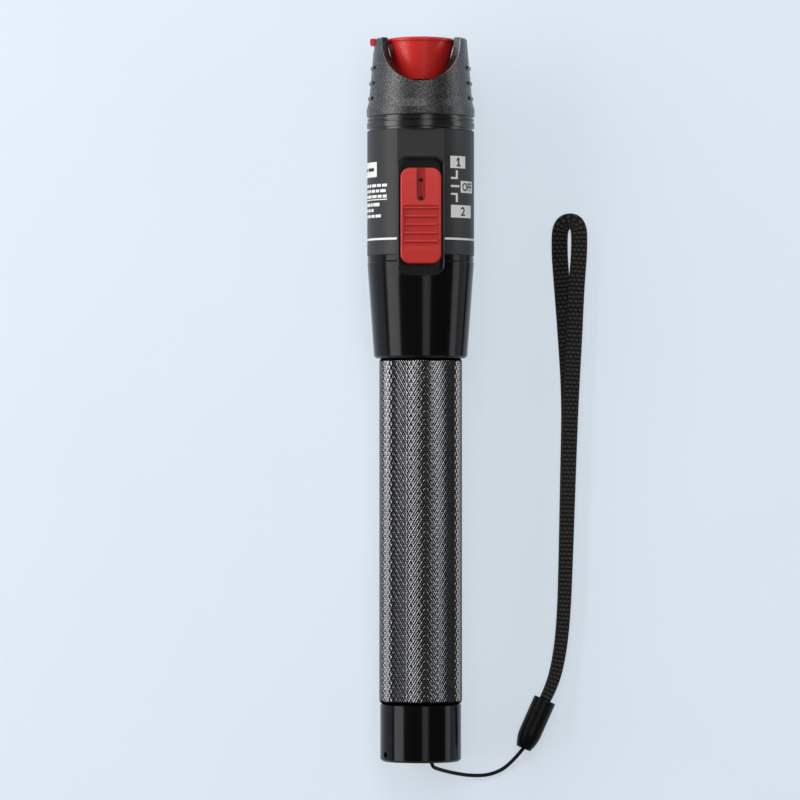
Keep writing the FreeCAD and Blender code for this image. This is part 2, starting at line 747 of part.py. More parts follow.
def connector_port():
    body = new_piece("connector_port")
    sleeve_hole = S.sleeve_outer + S.sleeve_clearance
    lens_hole = S.lens_radius + S.bore_clearance
    bevel = S.port_mouth_length / 2
    turned(body, "barrel", [
        (S.port_mouth_radius, S.sleeve_top),
        (S.port_mouth_radius + bevel, S.port_top),
        (S.port_boss_radius - bevel, S.port_top),
        (S.port_boss_radius, S.port_top - bevel),
        (S.port_boss_radius, S.port_ledge),
        (S.cavity_radius - S.port_flange_gap, S.port_ledge),
        (S.cavity_radius - S.port_flange_gap, S.shelf_level),
        (S.port_barrel_radius, S.shelf_level),
        (S.port_barrel_radius, S.port_bottom),
        (S.holder_bore, S.port_bottom),
        (S.holder_bore, S.holder_top),
        (lens_hole, S.holder_top),
        (lens_hole, S.sleeve_seat),
        (sleeve_hole, S.sleeve_seat),
        (sleeve_hole, S.sleeve_top),
    ])


def aperture_ring():
    """The disc between the sleeve and the lens that lets the beam through."""
    body = new_piece("aperture_ring")
    turned(body, "disc", [
        (S.light_hole_radius, S.lens_seat),
        (S.lens_radius, S.lens_seat),
        (S.lens_radius, S.sleeve_seat),
        (S.light_hole_radius, S.sleeve_seat),
    ])


def ceramic_sleeve():
    body = new_piece("ceramic_sleeve")
    turned(body, "tube", [
        (S.sleeve_bore, S.sleeve_seat),
        (S.sleeve_outer, S.sleeve_seat),
        (S.sleeve_outer, S.sleeve_top),
        (S.sleeve_bore, S.sleeve_top),
    ])


def port_nut():
    body = new_piece("port_nut")
    half = S.nut_flats / 2
    far = S.nut_flats / math.sqrt(3)
    hexagon = [
        (far, 0), (far / 2, half), (-far / 2, half), (-far, 0), (-far / 2, -half), (far / 2, -half),
    ]
    low = S.shelf_level - S.shelf_thickness - S.nut_thickness
    padded(body, "hexagon", outline(body, "hexagon_plan", "XY_Plane", hexagon, low), S.nut_thickness)
    hole = circles(
        body, "hole_plan", "XY_Plane", [(0, 0, S.port_barrel_radius + S.thread_clearance)], low
    )
    pocketed(body, "hole", hole, S.nut_thickness, forward=True)


def focusing_lens():
    """A plano-convex lens, its flat side against the aperture ring."""
    body = new_piece("focusing_lens")
    edge = S.lens_seat - S.lens_edge
    turned(body, "glass", [
        (0, edge - S.lens_rise),
        (S.lens_radius / 2, edge - S.lens_rise * 0.76, ARC),
        (S.lens_radius, edge),
        (S.lens_radius, S.lens_seat),
        (0, S.lens_seat),
    ])


def lens_ring():
    body = new_piece("lens_ring")
    turned(body, "ring", [
        (S.lens_radius - S.lens_ring_wall, S.holder_top),
        (S.lens_radius, S.holder_top),
        (S.lens_radius, S.holder_top + S.lens_ring_length),
        (S.lens_radius - S.lens_ring_wall, S.holder_top + S.lens_ring_length),
    ])


def laser_holder():
    body = new_piece("laser_holder")
    base_hole = S.diode_radius + S.bore_clearance
    can_hole = S.can_radius + S.bore_clearance
    turned(body, "bush", [
        (can_hole, S.diode_face),
        (can_hole, S.holder_top),
        (S.holder_radius, S.holder_top),
        (S.holder_radius, S.holder_bottom),
        (base_hole, S.holder_bottom),
        (base_hole, S.diode_face),
    ])


def laser_diode():
    body = new_piece("laser_diode")
    base = S.diode_face - S.diode_base
    turned(body, "can", [
        (0, base),
        (S.diode_radius, base),
        (S.diode_radius, S.diode_face),
        (S.can_radius, S.diode_face),
        (S.can_radius, S.diode_face + S.can_length),
        (0, S.diode_face + S.can_length),
    ])
    side = S.lead_circle * math.sqrt(0.75)
    leads = circles(body, "lead_plan", "XY_Plane", [
        (0, -S.lead_circle, S.lead_radius),
        (side, S.lead_circle / 2, S.lead_radius),
        (-side, S.lead_circle / 2, S.lead_radius),
    ], base - S.lead_length)
    padded(body, "leads", leads, S.lead_length)


def circuit_board():
    body = new_piece("circuit_board")
    plan = outline(
        body, "board_plan", "XZ_Plane",
        box_corners(S.board_width, S.board_start, S.board_end),
        height=S.board_back,
    )
    padded(body, "board", plan, S.board_thickness)


def driver_chip():
    body = new_piece("driver_chip")
    start = S.recess_start + S.chip_side
    plan = outline(
        body, "chip_plan", "XZ_Plane", box_corners(S.chip_side, start, start + S.chip_side),
        height=S.board_back - S.chip_height,
    )
    padded(body, "chip", plan, S.chip_height)


def drive_coil():
    body = new_piece("drive_coil")
    plan = circles(
        body, "coil_plan", "XZ_Plane", [(0, S.recess_middle + S.coil_radius * 2, S.coil_radius)],
        height=S.board_back - S.coil_height,
    )
    padded(body, "coil", plan, S.coil_height)


def slide_switch():
    body = new_piece("slide_switch")
    low = S.recess_middle - S.switch_length / 2
    high = S.recess_middle + S.switch_length / 2
    plan = outline(
        body, "switch_plan", "XZ_Plane", box_corners(S.switch_width, low, high),
        height=S.board_front,
    )
    padded(body, "case", plan, S.switch_height)
    reach = S.stem_length / 2 + S.slider_travel + S.stem_clearance
    well = outline(
        body, "well_plan", "XZ_Plane",
        box_corners(
            S.stem_width + S.stem_clearance * 2, S.recess_middle - reach, S.recess_middle + reach
        ),
        height=S.switch_top,
    )
    pocketed(body, "well", well, S.switch_well)


def switch_stem():
    body = new_piece("switch_stem")
    foot = S.switch_top - S.switch_well + S.slider_gap
    plan = outline(
        body, "stem_plan", "XZ_Plane",
        box_corners(
            S.stem_width, S.recess_middle - S.stem_length / 2, S.recess_middle + S.stem_length / 2
        ),
        height=foot,
    )
    padded(body, "stem", plan, S.slider_bed + S.stem_seat - foot)


def slider_track():
    """The tray that the slider runs in, let into the housing and the collar."""
    body = new_piece("slider_track")
    outer = rounded_box(
        body, "tray_plan", "XZ_Plane", S.facet_width, S.recess_start, S.recess_top,
        S.recess_corner, height=S.track_under,
    )
    padded(body, "tray", outer, S.track_top - S.track_under)
    inner = rounded_box(
        body, "hollow_plan", "XZ_Plane", S.facet_width - S.track_wall * 2,
        S.recess_start + S.track_wall, S.recess_top - S.track_wall,
        S.recess_corner - S.track_wall, height=S.track_bed,
    )
    pocketed(body, "hollow", inner, S.track_depth * 2, forward=True)
    reach = S.stem_length / 2 + S.slider_travel + S.stem_clearance
    slot = outline(
        body, "slot_plan", "XZ_Plane",
        box_corners(
            S.stem_width + S.stem_clearance * 2, S.recess_middle - reach, S.recess_middle + reach
        ),
        height=S.track_under,
    )
    pocketed(body, "slot", slot, S.track_floor, forward=True)


def slider_button():
    """The thumb slider: a crowned bar with a slot, five grip ribs and a scooped foot."""
    body = new_piece("slider_button")
    plan = rounded_box(
        body, "bar_plan", "XZ_Plane", S.slider_width, S.slider_foot, S.slider_head,
        S.slider_corner, height=S.slider_bed,
    )
    padded(body, "bar", plan, S.slider_top - S.slider_bed)
    beyond = S.slider_corner
    crown = outline(body, "crown_side", "YZ_Plane", [
        (-S.slider_top + S.slider_end_drop, S.slider_foot),
        (-S.slider_top, S.recess_middle, ARC),
        (-S.slider_top + S.slider_end_drop, S.slider_head),
        (-S.slider_top + S.slider_end_drop, S.slider_head + beyond),
        (-S.slider_top - beyond, S.slider_head + beyond),
        (-S.slider_top - beyond, S.slider_foot - beyond),
        (-S.slider_top + S.slider_end_drop, S.slider_foot - beyond),
    ])
    pocketed(body, "crown", crown, S.slider_width * 2, both_ways=True)
    edge_level = -(S.slider_top - S.slider_end_drop).number
    softened(body, "soft_edge", S.slider_edge, lambda edge: edge.BoundBox.YMax < edge_level + 1e-3)
    field_floor = S.slider_top - S.rib_field_depth
    first = S.slider_head - S.rib_first
    last = first - S.rib_pitch * (S.rib_count - 1)
    field = rounded_box(
        body, "rib_field_plan", "XZ_Plane", S.rib_length + S.rib_width,
        last - S.rib_pitch, first + S.rib_width, S.rib_width, height=field_floor,
    )
    pocketed(body, "rib_field", field, S.slider_top - field_floor + S.slider_edge, forward=True)
    rib = padded(body, "rib", outline(body, "rib_side", "YZ_Plane", [
        (-field_floor + S.rib_height / 2, first - S.rib_width / 2),
        (-field_floor, first - S.rib_width / 2),
        (-field_floor - S.rib_height, first, ARC),
        (-field_floor, first + S.rib_width / 2),
        (-field_floor + S.rib_height / 2, first + S.rib_width / 2),
    ]), S.rib_length, both_ways=True)
    doc.recompute()
    ribs = body.newObject("PartDesign::LinearPattern", "ribs")
    ribs.Originals = [rib]
    ribs.Direction = (origin_part(body, "Z_Axis"), [""])
    ribs.Reversed = True
    bind(ribs, "Length", S.rib_pitch * (S.rib_count - 1))
    bind(ribs, "Occurrences", S.rib_count)
    body.Tip = ribs
    slot_end = S.slider_head - S.thumb_slot_length
    half = S.thumb_slot_width / 2
    slot = outline(body, "thumb_slot_plan", "XZ_Plane", [
        (-half, slot_end + half),
        (0, slot_end, ARC),
        (half, slot_end + half),
        (half, S.slider_head + half),
        (-half, S.slider_head + half),
    ], S.slider_top - S.thumb_slot_depth)
    pocketed(body, "thumb_slot", slot, S.thumb_slot_depth * 2, forward=True)
    dimples = circles(body, "dimple_plan", "XZ_Plane", [
        (0, S.slider_head - S.dimple_first, S.dimple_radius),
        (0, S.slider_head - S.dimple_first - S.dimple_pitch, S.dimple_radius),
    ], S.slider_top - S.thumb_slot_depth)
    pocketed(body, "dimples", dimples, S.dimple_depth)
    seat = outline(
        body, "stem_seat_plan", "XZ_Plane",
        box_corners(
            S.stem_width, S.recess_middle - S.stem_length / 2, S.recess_middle + S.stem_length / 2
        ),
        height=S.slider_bed,
    )
    pocketed(body, "stem_seat", seat, S.stem_seat, forward=True)


def contact_carrier():
    """The plastic disc that holds the front contact and the foot of the board."""
    body = new_piece("contact_carrier")
    turned(body, "disc", [
        (S.rivet_radius, S.cells_top + S.contact_thickness),
        (S.contact_radius, S.cells_top + S.contact_thickness),
        (S.contact_radius, S.carrier_start),
        (S.housing_bore - S.bore_clearance, S.carrier_start),
        (S.housing_bore - S.bore_clearance, S.carrier_top),
        (S.rivet_radius, S.carrier_top),
    ])
    middle = (S.board_front + S.board_back) / 2
    slot = outline(body, "board_slot_plan", "XY_Plane", [
        (-S.board_width / 2, -middle - S.board_thickness / 2),
        (S.board_width / 2, -middle - S.board_thickness / 2),
        (S.board_width / 2, -middle + S.board_thickness / 2),
        (-S.board_width / 2, -middle + S.board_thickness / 2),
    ], S.board_start)
    pocketed(body, "board_slot", slot, S.carrier_thickness, forward=True)


def front_contact():
    body = new_piece("front_contact")
    top = S.carrier_top + S.rivet_reach
    turned(body, "rivet", [
        (0, S.cells_top),
        (S.contact_radius, S.cells_top),
        (S.contact_radius, S.cells_top + S.contact_thickness),
        (S.rivet_radius, S.cells_top + S.contact_thickness),
        (S.rivet_radius, top),
        (0, top),
    ])


def corner_arcs(route):
    """Straight runs joined by tangent arcs, each as large as its two runs allow."""
    edges, radii = [], []
    here = route[0]
    for before, corner, after in zip(route, route[1:], route[2:]):
        inward, outward = corner - before, after - corner
        shorter = min(inward.Length, outward.Length)
        inward.normalize()
        outward.normalize()
        half_turn = inward.getAngle(outward) / 2
        setback = ARC_SHARE * shorter
        radius = setback / math.tan(half_turn)
        start = corner - inward * setback
        finish = corner + outward * setback
        towards = outward - inward
        towards.normalize()
        centre = corner + towards * (radius / math.cos(half_turn))
        middle = centre - towards * radius
        edges.append(Part.LineSegment(here, start).toShape())
        edges.append(Part.Arc(start, middle, finish).toShape())
        radii.append(round(radius, 2))
        here = finish
    edges.append(Part.LineSegment(here, route[-1]).toShape())
    return Part.Wire(edges), radii


def swept(name, route, section, level):
    """Sweep a section along the route and compare the solid with section times length.

    A level sweep keeps the section upright, so that a tape stays flat on the ground.
    """
    path, radii = corner_arcs(route)
    maker = Part.BRepOffsetAPI.MakePipeShell(path)
    if level:
        maker.setBiNormalMode(Vector(0, 0, 1))
    else:
        maker.setFrenetMode(False)
    maker.add(section)
    maker.build()
    maker.makeSolid()
    solid = maker.shape()
    expected = Part.Face(section).Area * path.Length
    print(name, "radii", radii, "length", round(path.Length, 2),
          "volume", round(solid.Volume, 2), "section x length", round(expected, 2))
    piece = doc.addObject("Part::Feature", name)
    piece.Label = name
    piece.Shape = solid
    piece.Placement = FreeCAD.Placement()
    pieces[name] = piece


def lanyard_string():
    """The cord from the eye in the tail to the bead: straight out, down, round and up."""
    eye = LYING.multVec(Vector(S.eye_offset.number, 0, S.eye_depth.number))
    outside = LYING.multVec(Vector(S.eye_offset.number, 0, -STRING_START))
    route = [eye, outside] + [Vector(*point) for point in STRING_ROUTE] + [bead_place(0)]

    circle = Part.Circle(eye, outside - eye, S.string_radius.number)
    swept("lanyard_string", route, Part.Wire(circle.toShape()), level=False)


def bead_place(along, height=None):
    """A point on the bead's axis, or level with it at another height."""
    tip = Vector(BEAD_TIP[0], BEAD_TIP[1], S.bead_radius.number)
    heading = math.radians(BEAD_HEADING)
    point = tip + Vector(math.cos(heading), math.sin(heading), 0) * along
    if height is not None:
        point.z = height
    return point


def lanyard_bead():
    """The cord stop: a barrel, flat where the tape enters and rounded at the string."""
    body = new_piece("lanyard_bead")
    body.Placement = FreeCAD.Placement(
        bead_place(0),
        FreeCAD.Rotation(Vector(0, 0, 1), BEAD_HEADING) * FreeCAD.Rotation(Vector(0, 1, 0), 90),
    )
    bulge = S.bead_radius - (S.bead_radius - S.bead_tip_radius) * 0.28
    rim = S.edge_break
    turned(body, "barrel", [
        (0, 0),
        (S.bead_tip_radius, 0),
        (bulge, S.bead_nose_length / 2, ARC),
        (S.bead_radius, S.bead_nose_length),
        (S.bead_radius, S.bead_length - rim),
        (S.bead_radius - rim, S.bead_length),
        (0, S.bead_length),
    ])


def lanyard_strap():
    """The wrist loop: up one side of the tape, round the end and back on top of itself."""
    lower = bead_place(S.bead_length.number, TAPE_ENTRY[0])
    upper = bead_place(S.bead_length.number, TAPE_ENTRY[1])
    route = [lower] + [Vector(*point) for point in STRAP_ROUTE] + [upper]

    up = Vector(0, 0, 1) * (S.tape_thickness.number / 2)
    across = (route[1] - route[0]).cross(up).normalize() * (S.tape_width.number / 2)
    corners = [lower - across - up, lower + across - up, lower + across + up, lower - across + up]
    swept("lanyard_strap", route, Part.makePolygon(corners + corners[:1]), level=True)


# The lanyard's routes, chosen by hand, as points on the ground beside the pen.
ARC_SHARE = 0.45
STRING_START = 1.6
STRING_ROUTE = [
    (4.6, -89.5, 6.4),
    (8.0, -90.3, 2.9),
    (12.4, -90.85, 1.1),
    (17.2, -90.6, 0.9),
    (21.6, -88.3, 1.2),
]
BEAD_TIP = (24.87, -84.13)
BEAD_HEADING = 66.0
TAPE_ENTRY = (2.0, 3.5)
STRAP_ROUTE = [
    (31.95, -68.8, 1.2),
    (33.7, -61.5, 0.65),
    (34.7, -52.0, 0.65),
    (35.2, -38.0, 0.65),
    (35.7, -18.0, 0.65),
    (36.2, 0.0, 0.65),
    (35.4, 15.0, 0.65),
    (34.3, 28.0, 0.65),
    (33.7, 36.5, 0.75),
    (34.0, 43.6, 1.1),
    (38.5, 43.8, 1.8),
    (38.7, 36.8, 2.1),
    (38.0, 28.0, 2.15),
    (37.3, 15.0, 2.15),
    (36.5, 0.0, 2.15),
    (35.9, -18.0, 2.15),
    (35.3, -38.0, 2.15),
    (34.8, -52.0, 2.15),
    (33.8, -61.5, 2.2),
    (32.05, -68.8, 2.7),
]

BUILDERS = [
    tail_cap, tail_seal, tail_spring, battery_tube,
    lambda: battery("battery_rear", S.rear_cell_start),
    lambda: battery("battery_front", S.front_cell_start),
    collar, switch_housing, neck_ring, nose_guard, hinge_pin, dust_cap,
    connector_port, aperture_ring, ceramic_sleeve, port_nut, focusing_lens, lens_ring,
    laser_holder, laser_diode, circuit_board, driver_chip, drive_coil,
    slide_switch, switch_stem, slider_track, slider_button,
    contact_carrier, front_contact, lanyard_string, lanyard_bead, lanyard_strap,
]
for build in BUILDERS:
    build()
doc.recompute()
for thing in doc.Objects:
    if "Invalid" in thing.State or "Error" in thing.State:
        raise RuntimeError(f"{thing.Label} did not recompute: {thing.State}")
os.makedirs("parts", exist_ok=True)
for name, piece in pieces.items():
    shape = piece.Shape
    if shape.isNull() or not shape.isValid():
        raise RuntimeError(f"{name} has no valid shape")
for name, piece in pieces.items():
    piece.Shape.exportStep(f"parts/{name}.step")
    box = piece.Shape.BoundBox
    print(name, len(piece.Shape.Solids), round(piece.Shape.Volume, 1), [round(v, 2) for v in (
        box.XMin, box.YMin, box.ZMin, box.XMax, box.YMax, box.ZMax)])
print("lean", round(math.degrees(LEAN), 4), "rest height", round(REST_HEIGHT, 3))
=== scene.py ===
"""Dresses the frame of a pen-shaped visual fault locator lying beside its wrist lanyard."""
import json
import math
import random

import bpy
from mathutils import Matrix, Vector


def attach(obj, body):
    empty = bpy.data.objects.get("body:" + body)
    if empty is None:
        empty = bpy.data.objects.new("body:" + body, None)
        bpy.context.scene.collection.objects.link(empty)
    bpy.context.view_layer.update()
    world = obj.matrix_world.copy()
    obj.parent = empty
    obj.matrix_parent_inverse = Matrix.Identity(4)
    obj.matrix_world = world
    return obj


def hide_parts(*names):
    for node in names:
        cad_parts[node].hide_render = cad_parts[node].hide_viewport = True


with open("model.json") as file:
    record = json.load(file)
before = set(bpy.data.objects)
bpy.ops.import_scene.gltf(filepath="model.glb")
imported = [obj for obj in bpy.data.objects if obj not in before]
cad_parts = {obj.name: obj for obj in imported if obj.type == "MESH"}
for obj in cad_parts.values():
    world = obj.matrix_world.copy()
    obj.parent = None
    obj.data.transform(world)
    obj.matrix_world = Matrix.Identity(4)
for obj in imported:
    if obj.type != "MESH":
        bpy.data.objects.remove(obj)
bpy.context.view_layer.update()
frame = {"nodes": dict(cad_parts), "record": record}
NODES = frame["nodes"]
MM = 0.001
UP = Vector((0, 0, 1))

# The pen's own frame: x to the right, f towards the slider's side, z from tail to nose.
JOINTS = {joint["name"]: joint for joint in frame["record"]["behaviour"]["joints"]}
TAIL = Vector(JOINTS["tail_turn"]["pos_m"])
ALONG = -Vector(JOINTS["tail_turn"]["axis"])
FRONT = Vector((0, -ALONG.z, ALONG.y))
LEAN = math.asin(ALONG.z)


def pen(x, f, z):
    """A place in the row frame, from millimetres in the pen's frame."""
    return TAIL + (Vector((x, 0, 0)) + FRONT * f + ALONG * z) * MM


def on_pen(radius, turn, station):
    """A place on the pen's skin, turn radians to the right of the slider."""
    return tuple(pen(radius * math.sin(turn), radius * math.cos(turn), station))


def added(name, data):
    """A new object that holds the data, in the scene."""
    made = bpy.data.objects.new(name, data)
    bpy.context.scene.collection.objects.link(made)
    return made


def new_mesh(name, verts, faces, *materials):
    mesh = bpy.data.meshes.new(name)
    mesh.from_pydata(verts, [], faces)
    for material in materials:
        mesh.materials.append(material)
    return mesh


# ---------------------------------------------------------------- camera

EYE_STATION, AIM_STATION, ASIDE, EYE_HEIGHT = 76.9, 86.8, -4.98, 1180.0
VIEW_WIDTH, SENSOR_WIDTH = 192.56, 36.0

camera = added("camera", bpy.data.cameras.new("camera"))
bpy.context.scene.camera = camera
camera.location = pen(ASIDE, EYE_HEIGHT, EYE_STATION)
sight = pen(ASIDE, 0, AIM_STATION) - camera.location
camera.rotation_mode = "QUATERNION"
camera.rotation_quaternion = sight.to_track_quat("-Z", "Y")
camera.data.sensor_width = SENSOR_WIDTH
camera.data.lens = SENSOR_WIDTH * EYE_HEIGHT / VIEW_WIDTH
camera.data.clip_start, camera.data.clip_end = 0.05, 20.0


# ---------------------------------------------------------------- materials

class Graph:
    """A small helper for building a material's nodes."""

    def __init__(self, name):
        self.material = bpy.data.materials.new(name)
        self.material.use_nodes = True
        self.tree = self.material.node_tree
        self.shader = self.tree.nodes["Principled BSDF"]

    def node(self, kind, **settings):
        made = self.tree.nodes.new(kind)
        for key, value in settings.items():
            setattr(made, key, value)
        return made

    def put(self, socket, value):
        if isinstance(value, bpy.types.NodeSocket):
            self.tree.links.new(value, socket)
        else:
            socket.default_value = value

    def math(self, operation, first, second=0.0, clamp=False):
        made = self.node("ShaderNodeMath", operation=operation, use_clamp=clamp)
        self.put(made.inputs[0], first)
        self.put(made.inputs[1], second)
        return made.outputs[0]

    def times(self, first, second):
        return self.math("MULTIPLY", first, second)

    def plus(self, first, second, clamp=False):
        return self.math("ADD", first, second, clamp)

    def minus(self, first, second, clamp=False):
        return self.math("SUBTRACT", first, second, clamp)

    def split(self, vector):
        made = self.node("ShaderNodeSeparateXYZ")
        self.put(made.inputs[0], vector)
        return made.outputs

    def join(self, x, y, z):
        made = self.node("ShaderNodeCombineXYZ")
        for socket, value in zip(made.inputs, (x, y, z)):
            self.put(socket, value)
        return made.outputs[0]

    def place(self):
        """The point on the object in millimetres, in the row frame."""
        made = self.node("ShaderNodeVectorMath", operation="SCALE")
        self.put(made.inputs[0], self.node("ShaderNodeTexCoord").outputs["Object"])
        made.inputs["Scale"].default_value = 1 / MM
        return made.outputs[0]

    def pen_place(self):
        """x, distance behind the axis and station of the point, in millimetres."""
        moved = self.node("ShaderNodeVectorMath", operation="SUBTRACT")
        self.put(moved.inputs[0], self.place())
        moved.inputs[1].default_value = tuple(TAIL / MM)
        turn = self.node("ShaderNodeVectorRotate", rotation_type="X_AXIS")
        self.put(turn.inputs["Vector"], moved.outputs[0])
        turn.inputs["Angle"].default_value = math.pi / 2 - LEAN
        return self.split(turn.outputs[0])

    def radius(self):
        """Distance from the pen's axis in millimetres."""
        x, back, _ = self.pen_place()
        return self.math("SQRT", self.plus(self.times(x, x), self.times(back, back)))

    def unrolled(self, along_pitch, round_pitch):
        """Pitches counted along and round a swept piece, from their size in millimetres."""
        along, across, _ = self.split(self.node("ShaderNodeUVMap", uv_map="along").outputs[0])
        return self.times(along, 1 / (along_pitch * MM)), self.times(across, 1 / (round_pitch * MM))

    def noise(self, scale, detail=2.0, vector=None, rough=0.5):
        """Noise with features about 1/scale millimetres in size."""
        made = self.node("ShaderNodeTexNoise")
        self.put(made.inputs["Vector"], self.place() if vector is None else vector)
        made.inputs["Scale"].default_value = scale
        made.inputs["Detail"].default_value = detail
        made.inputs["Roughness"].default_value = rough
        return made.outputs["Fac"]

    def ramp(self, value, low, high, start=0.0, end=1.0):
        """low up to the value start, then evenly to high at end."""
        made = self.node("ShaderNodeMapRange")
        self.put(made.inputs["Value"], value)
        for key, number in (("From Min", start), ("From Max", end), ("To Min", low),
                            ("To Max", high)):
            self.put(made.inputs[key], number)
        return made.outputs["Result"]

    def over(self, value, start, end):
        """0 up to the value start, then evenly to 1 at end."""
        return self.ramp(value, 0.0, 1.0, start, end)

    def under(self, value, start, end):
        """1 up to the value start, then evenly to 0 at end."""
        return self.ramp(value, 1.0, 0.0, start, end)

    def mix(self, amount, first, second):
        made = self.node("ShaderNodeMix", data_type="RGBA")
        self.put(made.inputs["Factor"], amount)
        for socket, value in ((made.inputs["A"], first), (made.inputs["B"], second)):
            self.put(socket, value if isinstance(value, bpy.types.NodeSocket) else (*value, 1.0))
        return made.outputs["Result"]

    def bump(self, height, depth_mm):
        made = self.node("ShaderNodeBump")
        self.put(made.inputs["Height"], height)
        made.inputs["Distance"].default_value = depth_mm * MM
        return made.outputs["Normal"]

    def finish(self, tint, rough, normal=None, metallic=0.0, specular=0.5, **others):
        inputs = self.shader.inputs
        self.put(inputs["Base Color"], tint)
        self.put(inputs["Roughness"], rough)
        if normal is not None:
            self.put(inputs["Normal"], normal)
        inputs["Metallic"].default_value = metallic
        inputs["Specular IOR Level"].default_value = specular
        for key, value in others.items():
            inputs[key.replace("_", " ")].default_value = value
        return self.material


def shades(colour, share):
    """The colour darker and lighter by a share of itself."""
    return (tuple(channel * (1 - share) for channel in colour),
            tuple(min(1.0, channel * (1 + share)) for channel in colour))


def moulded(name, colour, rough, grain=0.0, grain_scale=4.0, wander=0.12, specular=0.4):
    """Moulded plastic: faint colour drift, uneven gloss and a fine grain."""
    g = Graph(name)
    tint = g.mix(g.noise(0.25, 3.0), *shades(colour, wander))
    gloss = g.ramp(g.noise(1.3, 3.0), rough - 0.05, rough + 0.05)
    normal = g.bump(g.noise(grain_scale, 2.0, rough=0.6), grain) if grain else None
    return g.finish(tint, gloss, normal, specular=specular)


RING_PITCH, RING_DEPTH = 0.12, 0.002


def machined(name, colour, rough, metallic, specular=0.4):
    """Turned metal: fine rings around the pen's axis and slight staining."""
    g = Graph(name)
    _, _, station = g.pen_place()
    rings = g.noise(1.0 / RING_PITCH, 2.0, g.join(0.0, 0.0, station))
    tint = g.mix(g.noise(0.5, 4.0), *shades(colour, 0.15))
    gloss = g.ramp(rings, rough - 0.03, rough + 0.03)
    return g.finish(tint, gloss, g.bump(rings, RING_DEPTH), metallic, specular)


def paint(material, *names):
    """Gives a material to nodes of the frame."""
    for name in names:
        for slot in NODES[name].material_slots:
            slot.material = material


# ---------------------------------------------------------------- lanyard

STRING_ROUTE = [
    (2.3, -84.14, 9.82), (2.3, -88.1, 9.69), (4.5, -89.1, 6.4), (8.0, -90.1, 2.9),
    (12.4, -90.85, 1.1), (17.2, -90.6, 0.9), (21.6, -88.3, 1.2), (24.87, -84.13, 2.75),
]
STRAP_ROUTE = [
    (30.12, -72.35, 2.0), (31.95, -68.8, 1.2), (33.7, -61.5, 0.65), (34.7, -52.0, 0.65),
    (35.2, -38.0, 0.65), (35.7, -18.0, 0.65), (36.2, 0.0, 0.65), (35.4, 15.0, 0.65),
    (34.42, 28.0, 0.65), (33.76, 36.5, 0.75), (34.0, 43.6, 1.1), (38.5, 43.8, 1.8),
    (38.64, 36.8, 2.1), (37.88, 28.0, 2.15), (37.3, 15.0, 2.15), (36.5, 0.0, 2.15),
    (35.9, -18.0, 2.15), (35.3, -38.0, 2.15), (34.8, -52.0, 2.15), (33.8, -61.5, 2.2),
    (32.05, -68.8, 2.7), (30.12, -72.35, 3.5),
]
TAPE_WIDTH, TAPE_THICKNESS, STRING_WIDTH = 3.75 * MM, 1.15 * MM, 0.9 * MM
TAPE_EDGE = 0.42  # the rounding of the tape's edges, as a share of its thickness
TAPE_STEPS, EDGE_STEPS, STRING_SIDES = 10, 4, 16
ROW_PITCH, RIB_PITCH, YARN_ALONG, YARN_ROUND = 1.04, 1.1, 0.7, 0.94


def smooth_line(name, route):
    """A curve whose control points are the route, in metres."""
    data = bpy.data.curves.new(name, "CURVE")
    data.dimensions = "3D"
    data.resolution_u = 24
    spline = data.splines.new("NURBS")
    spline.points.add(len(route) - 1)
    for point, place in zip(spline.points, route):
        point.co = (*(Vector(place) * MM), 1.0)
    spline.order_u = 3
    spline.use_endpoint_u = True
    return added(name, data)


def distances(points):
    """How far along the line each of its points lies."""
    made = [0.0]
    for before, after in zip(points, points[1:]):
        made.append(made[-1] + (after - before).length)
    return made


def points_on(line, step):
    """Points at even steps along a curve, read from it."""
    mesh = bpy.data.meshes.new_from_object(line)
    points = [vertex.co.copy() for vertex in mesh.vertices]
    bpy.data.meshes.remove(mesh)
    lengths = distances(points)
    count = round(lengths[-1] / step)
    made, at = [], 0
    for i in range(count + 1):
        want = lengths[-1] * i / count
        while at < len(lengths) - 2 and lengths[at + 1] < want:
            at += 1
        share = (want - lengths[at]) / max(1e-9, lengths[at + 1] - lengths[at])
        made.append(points[at].lerp(points[at + 1], min(1.0, share)))
    return made


def tube_along(name, points, section, material, flat=False, breadth=None):
    """A mesh swept along the points. section gives (across, up) pairs; U runs along, V round.

    A flat section stays level. breadth gives the share of its width at a distance along.
    """
    verts, faces, uvs = [], [], []
    sides, last = len(section), len(points) - 1
    distance = distances(points)
    across = None
    for i, point in enumerate(points):
        heading = (points[min(i + 1, last)] - points[max(i - 1, 0)]).normalized()
        if flat or across is None:
            across = heading.cross(UP).normalized()
        else:
            across = (across - heading * across.dot(heading)).normalized()
        lift = across.cross(heading)
        wide = breadth(distance[i]) if breadth else 1.0
        verts += [tuple(point + across * (a * wide) + lift * b) for a, b in section]
    perimeter = [0.0]
    for a, b in zip(section, section[1:] + section[:1]):
        perimeter.append(perimeter[-1] + math.dist(a, b))
    for i in range(last):
        for j in range(sides):
            k = (j + 1) % sides
            faces.append((i * sides + j, i * sides + k, (i + 1) * sides + k, (i + 1) * sides + j))
            uvs += [(distance[ring], perimeter[side])
                    for ring, side in ((i, j), (i, j + 1), (i + 1, j + 1), (i + 1, j))]
    faces += [tuple(reversed(range(sides))), tuple(range(last * sides, len(verts)))]
    uvs += [(distance[0], 0.0)] * sides + [(distance[-1], 0.0)] * sides
    mesh = new_mesh(name, verts, faces, material)
    for loop, uv in zip(mesh.uv_layers.new(name="along").data, uvs):
        loop.uv = uv
    mesh.polygons.foreach_set("use_smooth", [True] * len(mesh.polygons))
    return added(name, mesh)


